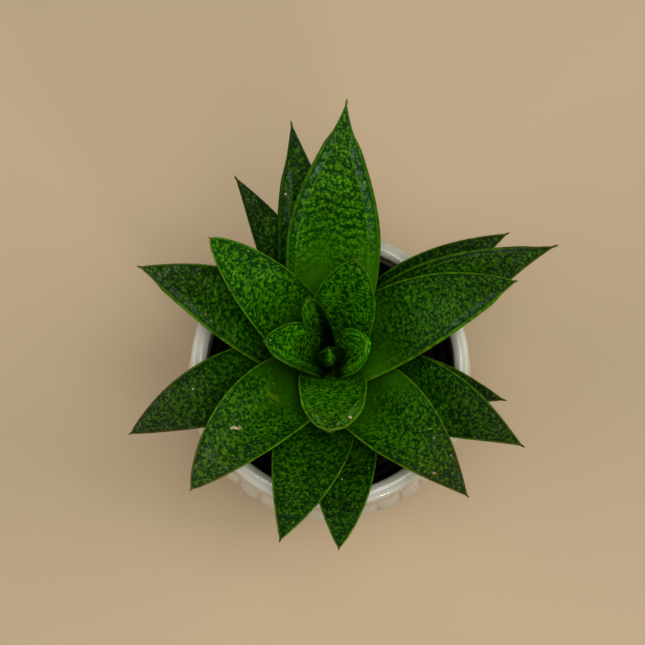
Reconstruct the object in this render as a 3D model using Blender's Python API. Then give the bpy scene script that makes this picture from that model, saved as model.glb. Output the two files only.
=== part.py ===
"""A small tubercled aloe in a cream glazed pot, with the black nursery pot that it grows in.

Metres, +Z up. The origin is the centre of the glazed pot's flat foot, and -Y is the side
nearest the viewer of the picture. Sizes below are in millimetres, angles in degrees.
"""

import math
from collections import namedtuple

import bmesh
import bpy
import numpy as np

MM = 0.001
GAP = 0.3  # left between pieces that touch

# Glazed pot
POT_HEIGHT = 75.0
RIM_RADIUS = 40.0
LIP_WIDTH = 4.2
LIP_ROUND = 2.2
COLLAR_HEIGHT = 8.5
NECK_RADIUS = 38.4
BELLY_RADIUS = 43.0
BELLY_HEIGHT = 42.0
FOOT_RADIUS = 30.0
FOOT_HEIGHT = 5.0
FOOT_STEP = 1.6
POT_WALL = 4.2
FLOOR_THICK = 5.0
LOBES = 36
LOBE_DEPTH = 0.6

# Nursery pot, which stands on the glazed pot's floor
LINER_TOP = 66.2
LINER_RADIUS = 34.2
LINER_RIM = 2.2
LINER_SKIRT = 4.6
LINER_WALL = 1.0
LINER_FLOOR = 1.2
LINER_FOOT_RADIUS = 24.0
DRAIN_HOLES = 4
DRAIN_RADIUS = 3.0
DRAIN_PLACE = 15.0

# Soil, and the stem in its hole
SOIL_TOP = 62.5
SOIL_MOUND = 0.5
STEM_FOOT = 52.0
STEM_SHOULDER = 68.0
STEM_TOP = 79.0
GROWING_POINT = 83.0
STEM_RADIUS = 4.5

# Leaves
EDGE_THICK = 0.8
BRISTLE_LENGTH = 1.5
BRISTLE_RADIUS = 0.4
ROOT_SHARE = 0.72
RINGS = 15
ACROSS = 5

# turn and height place a leaf's root on the stem. tip is the point of its bristle. width is the
# blade's full width, reached at the share widest of its length, and a lower taper makes a fuller,
# blunter blade. arch lifts the middle of the blade above the straight line from root to tip, and
# sickle moves it to the left of that line, seen from above. root_fold and tip_fold are how far
# each half of the blade is bent up, or down on the bud, whose back is turned to the viewer, and
# thick is its greatest thickness.
Leaf = namedtuple("Leaf", "name turn height tip width widest taper arch sickle root_fold tip_fold thick")

# From the top of the stem down: a leaf lies over those that follow it.
LEAVES = (
    Leaf("leaf_bud", 270, 83.0, (-0.6, 1.8, 105), 8.4, 0.60, 0.50, 1.8, 0.0, -50, -14, 1.6),
    Leaf("leaf_inner_1", 118, 82.0, (-5.8, 13.7, 112), 6.8, 0.55, 0.45, -2.8, -0.4, 65, 60, 2.0),
    Leaf("leaf_inner_2", 20, 81.2, (9.2, 2.9, 109), 11.6, 0.50, 0.58, -2.0, 0.5, 60, 45, 2.4),
    Leaf("leaf_inner_3", 74, 80.0, (6.1, 23.8, 116), 17.2, 0.45, 0.80, -1.5, 0.0, 50, 15, 3.4),
    Leaf("leaf_inner_4", 175, 80.2, (-17.7, 2.8, 110), 12.6, 0.50, 0.62, 1.5, -2.2, 50, 30, 3.2),
    Leaf("leaf_inner_5", 268, 79.0, (-0.6, -20.6, 106), 18.8, 0.32, 0.65, 0.5, 0.9, 40, 15, 4.0),
    Leaf("leaf_middle_1", 86, 77.4, (4.2, 65.3, 121), 24.2, 0.46, 1.50, 4.5, 1.2, 45, 14, 6.0),
    Leaf("leaf_middle_2", 140, 76.8, (-31.9, 29.5, 116), 18.6, 0.36, 0.75, 2.0, -1.0, 45, 14, 5.4),
    Leaf("leaf_middle_3", 16, 76.0, (49.1, 18.6, 112), 20.8, 0.36, 0.95, 4.5, 3.0, 45, 14, 6.0),
    Leaf("leaf_middle_4", 226, 75.0, (-37.1, -36.1, 104), 21.4, 0.36, 0.85, 4.5, -3.0, 42, 14, 6.0),
    Leaf("leaf_middle_5", 310, 74.4, (36.3, -37.9, 104), 22.0, 0.36, 1.10, 4.5, 1.4, 42, 14, 6.0),
    Leaf("leaf_outer_1", 158, 72.6, (-51.8, 23.6, 106), 20.8, 0.36, 1.10, 4.0, -2.7, 40, 12, 5.8),
    Leaf("leaf_outer_2", 24, 72.8, (60.8, 29.1, 107), 20.6, 0.36, 1.35, 3.5, 3.2, 40, 12, 5.4),
    Leaf("leaf_outer_3", 204, 71.4, (-53.9, -21.0, 100), 20.6, 0.36, 0.95, 4.0, -3.2, 40, 12, 5.4),
    Leaf("leaf_outer_4", 99, 71.0, (-10.7, 62.9, 108), 17.8, 0.36, 1.25, 3.5, 0.2, 40, 12, 5.2),
    Leaf("leaf_outer_5", 252, 70.0, (-13.7, -49.5, 100), 22.0, 0.36, 1.05, 4.0, 1.2, 40, 12, 5.6),
    Leaf("leaf_outer_6", 332, 69.6, (52.0, -24.3, 98), 21.0, 0.36, 1.20, 3.5, 2.4, 40, 12, 5.4),
    Leaf("leaf_outer_7", 276, 68.2, (2.1, -51.6, 94), 19.8, 0.36, 0.90, 3.5, 2.0, 40, 12, 5.2),
    Leaf("leaf_outer_8", 38, 67.6, (49.0, 34.5, 97), 18.0, 0.36, 1.15, 3.0, 3.0, 40, 12, 5.0),
    Leaf("leaf_outer_9", 122, 67.0, (-26.2, 49.4, 101), 14.4, 0.36, 1.15, 3.5, -2.2, 40, 12, 4.6),
    Leaf("leaf_outer_10", 346, 65.6, (48.2, -11.0, 90), 14.8, 0.36, 1.15, 3.0, 1.0, 40, 12, 4.4),
)

# One ring of a body turned round Z. lobes is the depth of the grooves between upright lobes.
Ring = namedtuple("Ring", "radius height steps lobes", defaults=(36, 0.0))


def clear_scene():
    for old in list(bpy.data.objects):
        bpy.data.objects.remove(old, do_unlink=True)


def material(name, colour, roughness):
    made = bpy.data.materials.new(name)
    made.use_nodes = True
    shader = made.node_tree.nodes["Principled BSDF"]
    shader.inputs["Base Color"].default_value = (*colour, 1.0)
    shader.inputs["Roughness"].default_value = roughness
    shader.inputs["Metallic"].default_value = 0.0
    return made


def mesh_from(name, points, faces):
    """A mesh from points in millimetres."""
    mesh = bpy.data.meshes.new(name)
    mesh.from_pydata([tuple(p * MM for p in point) for point in points], [], faces)
    mesh.update()
    return mesh


def piece(name, mesh, surface, sharp=40.0):
    """An object that is part of the model."""
    made = bpy.data.objects.new(name, mesh)
    bpy.context.scene.collection.objects.link(made)
    mesh.materials.append(surface)
    mesh.shade_smooth()
    mesh.set_sharp_from_angle(angle=math.radians(sharp))
    return made


def cutter(name, mesh):
    """An object that only cuts others."""
    made = bpy.data.objects.new(name, mesh)
    bpy.context.scene.collection.objects.link(made)
    made.hide_render = True
    made.display_type = "WIRE"
    return made


def bridge(low, high):
    """Triangles between two closed rings of vertex numbers, of which one may be finer."""
    n, m = len(low), len(high)
    faces = []
    i = j = 0
    while i < n or j < m:
        if j >= m or (i < n and (i + 1) * m <= (j + 1) * n):
            faces.append((low[i % n], low[(i + 1) % n], high[j % m]))
            i += 1
        else:
            faces.append((low[i % n], high[(j + 1) % m], high[j % m]))
            j += 1
    return faces


def turned(name, rings):
    """The closed mesh of a body round Z, walked up its outside and down its inside."""
    points, faces, numbers = [], [], []
    for ring in rings:
        start = len(points)
        for i in range(ring.steps):
            turn = 2 * math.pi * i / ring.steps
            radius = ring.radius - ring.lobes * (1 - abs(math.sin(turn * LOBES / 2)))
            points.append((radius * math.cos(turn), radius * math.sin(turn), ring.height))
        numbers.append(list(range(start, start + ring.steps)))
    for low, high in zip(numbers, numbers[1:]):
        faces += bridge(low, high)
    for ring, is_last in ((numbers[0], False), (numbers[-1], True)):
        centre = len(points)
        points.append((0.0, 0.0, points[ring[0]][2]))
        for first, second in zip(ring, ring[1:] + ring[:1]):
            faces.append((centre, first, second) if is_last else (centre, second, first))
    return mesh_from(name, points, faces)


def cut(target, tool):
    """Cuts target with tool, and keeps the largest body that is left."""
    step = target.modifiers.new("cut", "BOOLEAN")
    step.operation = "DIFFERENCE"
    step.solver = "EXACT"
    step.object = tool
    seen = target.evaluated_get(bpy.context.evaluated_depsgraph_get())
    mesh = bpy.data.meshes.new_from_object(seen)
    target.modifiers.remove(step)
    old = target.data
    target.data = mesh
    bpy.data.meshes.remove(old)
    drop_scraps(mesh)


def drop_scraps(mesh):
    """Triangulates a cut mesh, and keeps only its largest body."""
    least = 0.002 * MM
    work = bmesh.new()
    work.from_mesh(mesh)
    bmesh.ops.triangulate(work, faces=work.faces)
    bmesh.ops.remove_doubles(work, verts=work.verts, dist=least)
    bmesh.ops.dissolve_degenerate(work, edges=work.edges, dist=least)
    bmesh.ops.triangulate(work, faces=work.faces)
    bodies = sorted(loose_bodies(work), key=lambda body: sum(face.calc_area() for face in body))
    for body in bodies[:-1]:
        bmesh.ops.delete(work, geom=body, context="FACES")
    unused = [vertex for vertex in work.verts if not vertex.link_faces]
    bmesh.ops.delete(work, geom=unused, context="VERTS")
    work.to_mesh(mesh)
    work.free()


def loose_bodies(work):
    """The faces of each body that shares no edge with another."""
    left = set(work.faces)
    bodies = []
    while left:
        body = [left.pop()]
        for face in body:
            for edge in face.edges:
                for other in edge.link_faces:
                    if other in left:
                        left.remove(other)
                        body.append(other)
        bodies.append(body)
    return bodies


def belly_radius(height):
    """The glazed pot's outer radius between its foot and its neck: two quarter waves."""
    low = FOOT_HEIGHT + FOOT_STEP
    neck = POT_HEIGHT - COLLAR_HEIGHT
    if height < BELLY_HEIGHT:
        share = max(height - low, 0.0) / (BELLY_HEIGHT - low)
        start = FOOT_RADIUS + FOOT_STEP
    else:
        share = (neck - height) / (neck - BELLY_HEIGHT)
        start = NECK_RADIUS
    return start + (BELLY_RADIUS - start) * math.sin(math.pi / 2 * share)


def ceramic_pot():
    neck = POT_HEIGHT - COLLAR_HEIGHT
    mouth = RIM_RADIUS - LIP_WIDTH
    rings = [
        Ring(FOOT_RADIUS - 0.8, 0.0),
        Ring(FOOT_RADIUS, 0.8),
        Ring(FOOT_RADIUS - 0.4, FOOT_HEIGHT),
        Ring(FOOT_RADIUS + FOOT_STEP, FOOT_HEIGHT + FOOT_STEP, 72),
    ]
    for height in (12.0, 22.0, 32.0, BELLY_HEIGHT, 52.0, 60.5):
        rings.append(Ring(belly_radius(height), height, 144, LOBE_DEPTH))
    rings += [
        Ring(NECK_RADIUS, neck, 72),
        Ring(RIM_RADIUS - 0.6, neck + 1.4, 72),
        Ring(RIM_RADIUS, POT_HEIGHT - LIP_ROUND - 0.4, 72),
        Ring(RIM_RADIUS - 0.3 * LIP_ROUND, POT_HEIGHT - 0.3 * LIP_ROUND, 72),
        Ring(RIM_RADIUS - LIP_ROUND, POT_HEIGHT, 72),
        Ring(mouth + 0.5, POT_HEIGHT - 0.9, 72),
        Ring(mouth, POT_HEIGHT - 3.0),
        Ring(LINER_RADIUS + 0.6, neck - 1.0),
    ]
    for height in (54.0, BELLY_HEIGHT, 24.0, FLOOR_THICK + 4.0):
        rings.append(Ring(belly_radius(height) - POT_WALL, height))
    rings.append(Ring(FOOT_RADIUS - POT_WALL, FLOOR_THICK))
    glaze = material("cream glaze", (0.72, 0.66, 0.56), 0.18)
    return piece("ceramic_pot", turned("ceramic_pot", rings), glaze)


def drain_hole(turn, height):
    """A short upright cylinder that cuts one drain hole."""
    work = bmesh.new()
    radius = DRAIN_RADIUS * MM
    bmesh.ops.create_cone(
        work, cap_ends=True, segments=12, radius1=radius, radius2=radius, depth=4 * LINER_FLOOR * MM
    )
    place = (DRAIN_PLACE * math.cos(turn) * MM, DRAIN_PLACE * math.sin(turn) * MM, height * MM)
    bmesh.ops.translate(work, verts=work.verts, vec=place)
    mesh = bpy.data.meshes.new("drain_hole")
    work.to_mesh(mesh)
    work.free()
    return cutter("drain_hole", mesh)


def nursery_pot():
    foot = FLOOR_THICK + GAP
    skirt = LINER_TOP - LINER_SKIRT
    bore = LINER_RADIUS - LINER_RIM
    rings = [
        Ring(LINER_FOOT_RADIUS, foot, 48),
        Ring(bore + LINER_WALL - 0.4, skirt - 0.4, 48),
        Ring(LINER_RADIUS - 0.2, skirt, 48),
        Ring(LINER_RADIUS, LINER_TOP - 0.8, 48),
        Ring(LINER_RADIUS - 0.7, LINER_TOP, 48),
        Ring(bore + 0.7, LINER_TOP, 48),
        Ring(bore, LINER_TOP - 0.8, 48),
        Ring(bore - 0.4, skirt - 0.4, 48),
        Ring(LINER_FOOT_RADIUS - LINER_WALL, foot + LINER_FLOOR, 48),
    ]
    plastic = material("black plastic", (0.012, 0.012, 0.013), 0.45)
    pot = piece("nursery_pot", turned("nursery_pot", rings), plastic)
    for i in range(DRAIN_HOLES):
        tool = drain_hole(2 * math.pi * (i + 0.5) / DRAIN_HOLES, foot + LINER_FLOOR / 2)
        cut(pot, tool)
        bpy.data.objects.remove(tool, do_unlink=True)
    return pot


def soil():
    bottom = FLOOR_THICK + GAP + LINER_FLOOR + GAP
    bore = LINER_RADIUS - LINER_RIM - 0.4
    side = bore - GAP - 0.3
    hole = STEM_RADIUS + GAP
    rings = [
        Ring(LINER_FOOT_RADIUS - LINER_WALL - GAP - 0.2, bottom),
        Ring(side, LINER_TOP - LINER_SKIRT - 0.4),
        Ring(side - 0.2, SOIL_TOP - 0.6),
        Ring(side - 1.6, SOIL_TOP),
        Ring(hole + 6.0, SOIL_TOP + SOIL_MOUND, 24),
        Ring(hole, SOIL_TOP + 0.3, 16),
        Ring(hole, STEM_FOOT - GAP, 16),
    ]
    mix = material("potting soil", (0.045, 0.032, 0.024), 0.95)
    return piece("soil", turned("soil", rings), mix)


def stem_radius(height):
    """The stem is straight up to its shoulder, then narrows towards its growing point."""
    share = (GROWING_POINT - height) / (GROWING_POINT - STEM_SHOULDER)
    return STEM_RADIUS * min(max(share, 0.0), 1.0)


def stem_mesh(grow=0.0):
    rings = [
        Ring(STEM_RADIUS + grow, STEM_FOOT, 16),
        Ring(STEM_RADIUS + grow, STEM_SHOULDER, 16),
        Ring(stem_radius(STEM_TOP) + grow, STEM_TOP + grow, 16),
    ]
    return turned("stem", rings)


def stem():
    return piece("stem", stem_mesh(), material("stem", (0.16, 0.17, 0.07), 0.6))


def midrib(leaf):
    """The root, control point and tip of a blade's midrib, and the level way to its right."""
    turn = math.radians(leaf.turn)
    reach = stem_radius(leaf.height) + GAP
    root = np.array([reach * math.cos(turn), reach * math.sin(turn), leaf.height])
    tip = np.array(leaf.tip, float)
    chord = tip - root
    right = np.array([chord[1], -chord[0], 0.0]) / math.hypot(chord[0], chord[1])
    up = np.cross(right, chord / np.linalg.norm(chord))
    control = (root + tip) / 2 + 2 * leaf.arch * up - 2 * leaf.sickle * right
    return root, control, tip, right


def half_width(leaf, t, blade_end):
    """Half of the blade's width at the shares t of the length. The bristle is past blade_end."""
    s = np.clip(t / blade_end, 0.0, 1.0)
    near = ROOT_SHARE + (1 - ROOT_SHARE) * (1 - (1 - np.clip(s / leaf.widest, 0, 1)) ** 2)
    far = (1 - np.clip((s - leaf.widest) / (1 - leaf.widest), 0, 1) ** 2) ** leaf.taper
    blade = leaf.width / 2 * np.where(s < leaf.widest, near, far)
    bristle = BRISTLE_RADIUS * (1 - 0.25 * np.clip((t - blade_end) / (1 - blade_end), 0, 1))
    return np.maximum(blade, bristle)


def blade_faces(leaf, t, v, blade_end, grow):
    """Points of a leaf's upper and lower face, at the shares t along and v across (-1 to 1).

    The blade is an arc across, hollow side up, and thickest along its middle. grow moves the
    whole surface outwards.
    """
    root, control, tip, right = midrib(leaf)
    t = t[:, None]
    place = (1 - t) ** 2 * root + 2 * t * (1 - t) * control + t**2 * tip
    ahead = 2 * (1 - t) * (control - root) + 2 * t * (tip - control)
    ahead /= np.linalg.norm(ahead, axis=1, keepdims=True)
    place += ahead * grow * (np.where(t >= 1, 1.0, 0.0) - np.where(t <= 0, 1.0, 0.0))
    side = right - (ahead @ right)[:, None] * ahead
    side /= np.linalg.norm(side, axis=1, keepdims=True)
    up = np.cross(side, ahead)
    half = half_width(leaf, t, blade_end)
    fold = np.radians(leaf.root_fold + (leaf.tip_fold - leaf.root_fold) * np.sqrt(t))
    body = leaf.thick * (0.55 + 0.45 * np.sin(math.pi * t**0.8))
    body = np.minimum(body, EDGE_THICK + 0.62 * half)
    depth = EDGE_THICK + (body - EDGE_THICK) * (1 - np.abs(v) ** 1.5)
    angle = fold * v
    faces = []
    for shift in (grow, -depth - grow):
        across = (half + grow) * np.sin(angle) / fold - shift * np.sin(angle)
        lift = (half + grow) * (1 - np.cos(angle)) / fold + shift * np.cos(angle)
        faces.append(
            place[:, None, :] + across[..., None] * side[:, None, :] + lift[..., None] * up[:, None, :]
        )
    return faces


def leaf_mesh(leaf, grow=0.0):
    """The closed mesh of one leaf, ring by ring from its root to the end of its bristle."""
    length = np.linalg.norm(np.array(leaf.tip) - midrib(leaf)[0])
    blade_end = 1 - BRISTLE_LENGTH / length
    steps = np.linspace(0, 1, RINGS - 1)
    t = np.append(blade_end * (1 - (1 - steps) ** 1.25), 1.0)
    upper, lower = blade_faces(leaf, t, np.linspace(-1, 1, ACROSS), blade_end, grow)
    around = 2 * ACROSS
    points = np.concatenate([upper, lower[:, ::-1]], axis=1).reshape(-1, 3)
    faces = []
    for ring in range(RINGS - 1):
        for i in range(around):
            j = (i + 1) % around
            near = (ring * around + i, ring * around + j)
            far = (near[0] + around, near[1] + around)
            if i % ACROSS >= ACROSS // 2:
                faces += [(near[0], near[1], far[0]), (near[1], far[1], far[0])]
            else:
                faces += [(near[0], near[1], far[1]), (near[0], far[1], far[0])]
    last = (RINGS - 1) * around
    for i in range(ACROSS - 1):
        a, b, c, d = i, i + 1, around - 2 - i, around - 1 - i
        faces += [(c, b, a), (d, c, a)]
        faces += [(last + a, last + b, last + c), (last + a, last + c, last + d)]
    return mesh_from(leaf.name, points.tolist(), faces)


def boxes_meet(a, b):
    """Whether the boxes of two leaves come within the gap between pieces."""
    ends = []
    for leaf in (a, b):
        points = np.array([vertex.co for vertex in leaf.data.vertices]) / MM
        ends.append((points.min(axis=0), points.max(axis=0)))
    (low_a, high_a), (low_b, high_b) = ends
    return bool(np.all(low_a - GAP < high_b) and np.all(low_b - GAP < high_a))


def leaves():
    """All leaves, each cut clear of the stem and of the leaves that lie over it."""
    core = cutter("stem_cutter", stem_mesh(GAP))
    made, tools = [], []
    for leaf in LEAVES:
        surface = material(leaf.name, (0.03, 0.12, 0.02), 0.35)
        blade = piece(leaf.name, leaf_mesh(leaf), surface)
        cut(blade, core)
        for upper, tool in zip(made, tools):
            if boxes_meet(blade, upper):
                cut(blade, tool)
        made.append(blade)
        tools.append(cutter(leaf.name + "_cutter", leaf_mesh(leaf, GAP)))
    for tool in [core, *tools]:
        bpy.data.objects.remove(tool, do_unlink=True)
    return made


def main():
    clear_scene()
    ceramic_pot()
    nursery_pot()
    soil()
    stem()
    leaves()


main()
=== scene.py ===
"""Looks of the potted aloe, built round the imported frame.

Metres in Blender, +Z up. Sizes below are in millimetres and angles in degrees, as in the solids,
and the leaves, pots and soil follow the same driving dimensions.
"""

import math
from typing import NamedTuple

import bmesh
import bpy
import numpy as np
from mathutils import Matrix, Vector


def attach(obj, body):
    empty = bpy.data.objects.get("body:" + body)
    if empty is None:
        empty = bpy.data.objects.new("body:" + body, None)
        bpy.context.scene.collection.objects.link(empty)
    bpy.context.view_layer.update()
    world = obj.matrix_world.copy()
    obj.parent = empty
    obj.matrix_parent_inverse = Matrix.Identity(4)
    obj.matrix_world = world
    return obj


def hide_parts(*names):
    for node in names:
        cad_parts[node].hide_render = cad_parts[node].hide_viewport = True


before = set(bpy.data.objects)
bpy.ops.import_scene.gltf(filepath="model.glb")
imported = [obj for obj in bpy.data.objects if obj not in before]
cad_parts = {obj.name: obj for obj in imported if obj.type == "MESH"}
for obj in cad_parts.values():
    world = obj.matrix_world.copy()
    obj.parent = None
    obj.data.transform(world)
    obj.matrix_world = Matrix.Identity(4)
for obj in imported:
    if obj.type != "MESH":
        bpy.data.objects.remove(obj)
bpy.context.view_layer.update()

MM = 0.001

# The photo's camera: it looks almost straight down on the plant
IMAGE_PIXELS = 645
FOCAL_PIXELS = 1578.0
CAMERA_ELEVATION = 82.0
CAMERA_DISTANCE = 450.0
CAMERA_AIM = (-2.2, 12.7, 75.0)
SENSOR_MM = 36.0

# Half of the floor's width, in metres
FLOOR_REACH = 3.0

# Glazed pot
POT_HEIGHT = 75.0
RIM_RADIUS = 40.0
LIP_WIDTH = 4.2
LIP_ROUND = 2.2
COLLAR_HEIGHT = 8.5
NECK_RADIUS = 38.4
BELLY_RADIUS = 43.0
BELLY_HEIGHT = 42.0
FOOT_RADIUS = 30.0
FOOT_HEIGHT = 5.0
FOOT_STEP = 1.6
POT_WALL = 4.2
FLOOR_THICK = 5.0
LOBES = 36
LOBE_DEPTH = 0.6
NECK_HEIGHT = POT_HEIGHT - COLLAR_HEIGHT
BELLY_START = FOOT_HEIGHT + FOOT_STEP
MOUTH_RADIUS = RIM_RADIUS - LIP_WIDTH

# Nursery pot
LINER_TOP = 66.2
LINER_RADIUS = 34.2
LINER_RIM = 2.2
LINER_SKIRT = 4.6
LINER_FOOT = 24.0
LINER_WALL = 1.0
LINER_FLOOR = 1.2

# Soil and stem
SOIL_TOP = 62.5
SOIL_MOUND = 0.5
CRUMBS = 330
GRAIN_EVERY = 11
STEM_FOOT = 52.0
STEM_SHOULDER = 68.0
STEM_TOP = 79.0
GROWING_POINT = 83.0
STEM_RADIUS = 4.5
GAP = 0.3

# Leaves
EDGE_THICK = 0.45
EDGE_BULGE = 0.18
EDGE_FADE = (0.04, 0.36)
FACET_SLOPE = 0.42
ROOT_SHARE = 0.72
BRISTLE_LENGTH = 0.8
BRISTLE_RADIUS = 0.17
SPOT_HEIGHT = 0.20
RIDGE_HEIGHT = 0.08
CREASE_PITCH = 2.7
TOOTH_PITCH = 0.55
TOOTH_HEIGHT = 0.22
TOOTH_SUNK = 0.4 * TOOTH_HEIGHT
TOOTH_FIRST = 0.22
TOOTH_LAST = 0.975

# How fine the meshes are: distances between points, and numbers of points round or along
MESH_STEP = 0.31
UNDER_STEP = 0.90
ROOT_STEP = 0.80
ROOT_END = 0.2
EDGE_STEPS = 4
EDGE_CROWD = 0.35
BRISTLE_STEPS = 6
BELLY_STEPS = 26
POT_STEPS = 360
LINER_STEPS = 192
SOIL_STEPS = 300
STEM_STEPS = 48


class Leaf(NamedTuple):
    """Where a leaf is and what shape it has."""

    name: str
    turn: float  # the way that it grows, round the stem
    height: float  # where it leaves the stem
    tip: tuple
    width: float
    widest: float  # share of its length where it is widest
    taper: float  # from blunt, 0.5, to hollow, 1.5
    arch: float  # how far its midrib bends up
    sickle: float  # how far its midrib bends to its left
    root_fold: float  # how far each half of the blade is rolled up at the root
    tip_fold: float  # the same at the tip
    thick: float


LEAVES = (
    Leaf("leaf_bud", 270, 83.0, (-0.6, 1.8, 105), 8.4, 0.60, 0.50, 1.8, 0.0, -50, -14, 1.6),
    Leaf("leaf_inner_1", 118, 82.0, (-5.8, 13.7, 112), 6.8, 0.55, 0.45, -2.8, -0.4, 65, 60, 2.0),
    Leaf("leaf_inner_2", 20, 81.2, (9.2, 2.9, 109), 11.6, 0.50, 0.58, -2.0, 0.5, 60, 45, 2.4),
    Leaf("leaf_inner_3", 74, 80.0, (6.1, 23.8, 116), 17.2, 0.45, 0.80, -1.5, 0.0, 50, 15, 3.4),
    Leaf("leaf_inner_4", 175, 80.2, (-17.7, 2.8, 110), 12.6, 0.50, 0.62, 1.5, -2.2, 50, 30, 3.2),
    Leaf("leaf_inner_5", 268, 79.0, (-0.6, -20.6, 106), 18.8, 0.32, 0.65, 0.5, 0.9, 40, 15, 4.0),
    Leaf("leaf_middle_1", 86, 77.4, (4.2, 65.3, 121), 24.2, 0.46, 1.50, 4.5, 1.2, 45, 14, 6.0),
    Leaf("leaf_middle_2", 140, 76.8, (-31.9, 29.5, 116), 18.6, 0.36, 0.75, 2.0, -1.0, 45, 14, 5.4),
    Leaf("leaf_middle_3", 16, 76.0, (49.1, 18.6, 112), 20.8, 0.36, 0.95, 4.5, 3.0, 45, 14, 6.0),
    Leaf("leaf_middle_4", 226, 75.0, (-37.1, -36.1, 104), 21.4, 0.36, 0.85, 4.5, -3.0, 42, 14, 6.0),
    Leaf("leaf_middle_5", 310, 74.4, (36.3, -37.9, 104), 22.0, 0.36, 1.10, 4.5, 1.4, 42, 14, 6.0),
    Leaf("leaf_outer_1", 158, 72.6, (-51.8, 23.6, 106), 20.8, 0.36, 1.10, 4.0, -2.7, 40, 12, 5.8),
    Leaf("leaf_outer_2", 24, 72.8, (60.8, 29.1, 107), 20.6, 0.36, 1.35, 3.5, 3.2, 40, 12, 5.4),
    Leaf("leaf_outer_3", 204, 71.4, (-53.9, -21.0, 100), 20.6, 0.36, 0.95, 4.0, -3.2, 40, 12, 5.4),
    Leaf("leaf_outer_4", 99, 71.0, (-10.7, 62.9, 108), 17.8, 0.36, 1.25, 3.5, 0.2, 40, 12, 5.2),
    Leaf("leaf_outer_5", 252, 70.0, (-13.7, -49.5, 100), 22.0, 0.36, 1.05, 4.0, 1.2, 40, 12, 5.6),
    Leaf("leaf_outer_6", 332, 69.6, (52.0, -24.3, 98), 21.0, 0.36, 1.20, 3.5, 2.4, 40, 12, 5.4),
    Leaf("leaf_outer_7", 276, 68.2, (2.1, -51.6, 94), 19.8, 0.36, 0.90, 3.5, 2.0, 40, 12, 5.2),
    Leaf("leaf_outer_8", 38, 67.6, (49.0, 34.5, 97), 18.0, 0.36, 1.15, 3.0, 3.0, 40, 12, 5.0),
    Leaf("leaf_outer_9", 122, 67.0, (-26.2, 49.4, 101), 14.4, 0.36, 1.15, 3.5, -2.2, 40, 12, 4.6),
    Leaf("leaf_outer_10", 346, 65.6, (48.2, -11.0, 90), 14.8, 0.36, 1.15, 3.0, 1.0, 40, 12, 4.4),
)


class Skin(NamedTuple):
    """How a leaf's surface looks."""

    across: float  # width of the cell that holds one raised spot
    along: float  # length of that cell
    start: float  # share of the blade's length where the spots begin
    tone: float  # brightness, partly the leaf's own green and partly painted light that lifts the inner leaves
    deep: float = 0.12  # share of the length up to which the leaf lies in shade
    crease: float = 0.35  # depth of the grooves across the blade
    bow: float = 0.015  # how far the rows of spots bend
    slant: float = 0.0  # how far they tilt
    lined: bool = False  # whether the columns of spots follow the margins
    left: float = 0.0  # width of a facet that slopes off beside the left margin
    right: float = 0.0  # the same beside the right margin
    facet_start: float = -1.0  # share of the length where the facets begin
    pale: float = 0.0  # how pale the facets are, partly their own green and partly painted light
    keel: float = 0.0  # how pale the midrib is: a painted highlight along its ridge
    age_and_sheen: float = 1.0  # how much the tip has greyed, partly with age and partly as painted sheen
    painted_shade_left: float = 0.0  # painted shade on the left of its midrib
    painted_shade_right: float = 0.0  # the same on the right
    glow: float = 0.0  # painted light that lightens the root
    edged: float = 1.0  # how lime the margins are


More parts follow.
